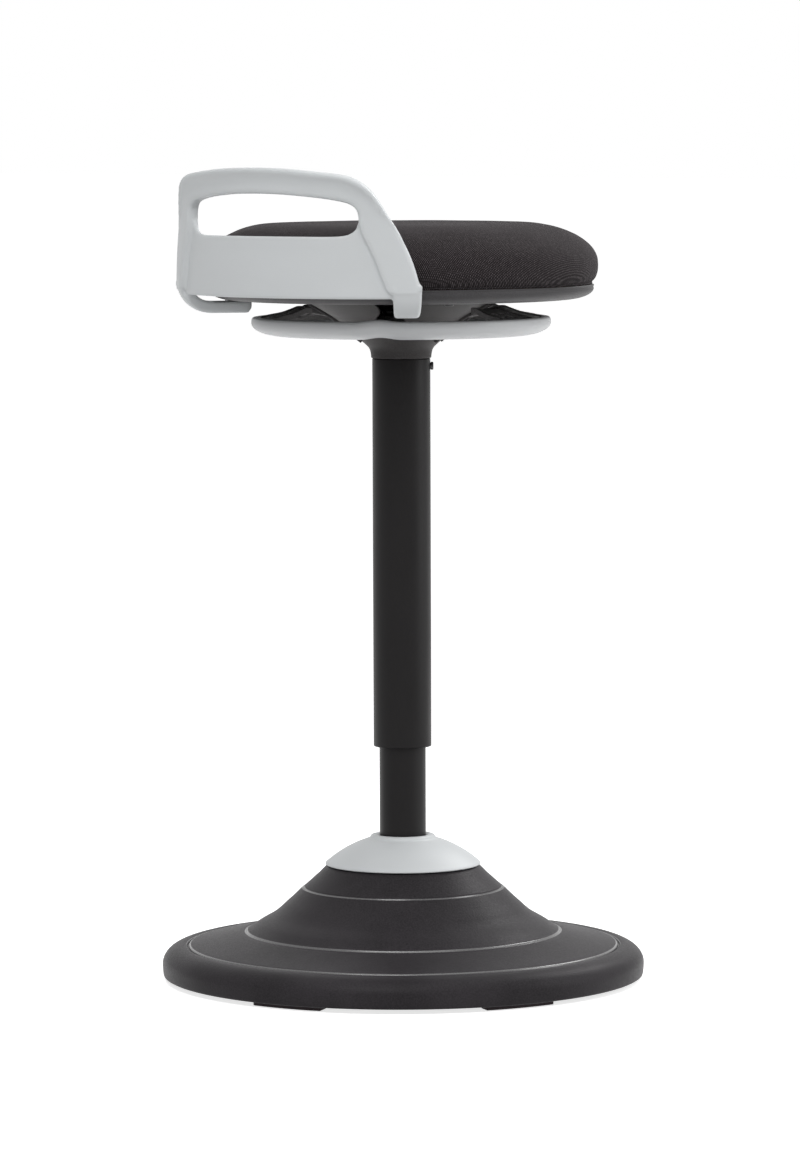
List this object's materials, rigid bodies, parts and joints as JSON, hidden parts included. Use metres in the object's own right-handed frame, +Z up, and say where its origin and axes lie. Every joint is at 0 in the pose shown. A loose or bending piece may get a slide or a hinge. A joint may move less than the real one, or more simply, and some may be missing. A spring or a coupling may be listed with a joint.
{
  "type": "perch stool",
  "caption": "Perch stool with a round domed cushion, rear grab handle, height lever ring, telescopic column that tilts and turns, and a weighted round base.",
  "frame": {"origin": "on the floor, on the column's axis, at the centre of the base", "axes": "+Z up along the column; the grab handle stands at the rear, towards +Y; the sitter faces -Y; +X is on the sitter's left hand when they face -Y"},
  "size_m": [0.417, 0.417, 0.703],
  "materials": {
    "dark_plastic": "dark grey moulded plastic, fine grain",
    "black_plastic": "black bearing plastic",
    "grey_plastic": "light grey satin plastic",
    "black_steel": "black powder coat",
    "bare_steel": "plain steel",
    "cast_iron": "rough casting",
    "bearing_bush": "natural bearing plastic",
    "rubber": "dark rubber",
    "board": "plywood, unfinished",
    "knit_fabric": "charcoal knitted mesh with small dimples"
  },
  "bodies": {
    "base": {"base_cover": "dark_plastic", "base_plate": "black_steel", "base_weight": "cast_iron", "foot_pad_1": "rubber", "foot_pad_2": "rubber", "foot_pad_3": "rubber", "foot_pad_4": "rubber", "foot_pad_5": "rubber", "foot_pad_6": "rubber", "cover_screw_1": "bare_steel", "cover_screw_2": "bare_steel", "cover_screw_3": "bare_steel", "pivot_socket": "cast_iron", "socket_bolt_1": "bare_steel", "socket_bolt_2": "bare_steel", "socket_bolt_3": "bare_steel", "socket_bolt_4": "bare_steel", "pivot_pin_left": "bare_steel", "pivot_pin_right": "bare_steel", "rubber_buffer": "rubber"},
    "gimbal": {"gimbal_ring": "cast_iron", "column_pin": "bare_steel"},
    "column": {"column_foot": "bare_steel", "lower_tube": "black_steel", "spring_flange": "cast_iron", "dome_cap": "grey_plastic", "spacer_tube": "bare_steel", "rod_anchor": "bare_steel", "bearing_race_lower": "bare_steel", "bearing_cage": "bearing_bush", "guide_bush": "bearing_bush"},
    "rod": {"bearing_race_upper": "bare_steel", "piston_rod": "bare_steel", "piston": "bare_steel", "rod_clip": "bare_steel"},
    "seat": {"gas_cylinder": "black_steel", "upper_tube": "black_steel", "slide_bush": "black_plastic", "set_screw": "black_steel", "seat_carrier": "dark_plastic", "rocker_pin": "bare_steel", "seat_pan": "dark_plastic", "pan_bolt_1": "bare_steel", "pan_bolt_2": "bare_steel", "pan_bolt_3": "bare_steel", "pan_bolt_4": "bare_steel", "seat_board": "board", "board_screw_1": "bare_steel", "board_screw_2": "bare_steel", "board_screw_3": "bare_steel", "cushion": "knit_fabric", "handle": "grey_plastic", "handle_screw_left": "bare_steel", "handle_screw_right": "bare_steel"},
    "ring": {"lever_ring": "grey_plastic", "lever_spider": "dark_plastic"},
    "rocker": {"release_rocker": "bare_steel"},
    "button": {"valve_button": "bare_steel"}
  },
  "joints": [
    {"name": "tilt_x", "type": "hinge", "parent": "base", "child": "gimbal", "pos_m": [0, 0, 0.0262], "axis": [1, 0, 0], "range_deg": [-4, 4], "stiffness_Nm_per_rad": 150, "deforming": ["rubber_buffer"]},
    {"name": "tilt_y", "type": "hinge", "parent": "gimbal", "child": "column", "pos_m": [0, 0, 0.0262], "axis": [0, 1, 0], "range_deg": [-4, 4], "stiffness_Nm_per_rad": 150, "deforming": ["rubber_buffer"]},
    {"name": "seat_swivel", "type": "hinge", "parent": "column", "child": "rod", "pos_m": [0, 0, 0.2], "axis": [0, 0, 1], "continuous": true},
    {"name": "seat_height", "type": "slide", "parent": "rod", "child": "seat", "axis": [0, 0, 1], "range_m": [-0.07, 0.13]},
    {"name": "ring_lift", "type": "slide", "parent": "seat", "child": "ring", "axis": [0, 0, 1], "range_m": [0, 0.005]},
    {"name": "rocker_turn", "type": "hinge", "parent": "seat", "child": "rocker", "pos_m": [0.00514, -0.00613, 0.5761], "axis": [-0.766, -0.6428, 0], "range_deg": [0, 25]},
    {"name": "valve_press", "type": "slide", "parent": "seat", "child": "button", "axis": [0, 0, -1], "range_m": [0, 0.0032]}
  ],
  "couplings": [
    {"joint": "rocker_turn", "follows": "ring_lift", "rad_per_m": 87.2},
    {"joint": "valve_press", "follows": "ring_lift", "ratio": 0.64}
  ]
}
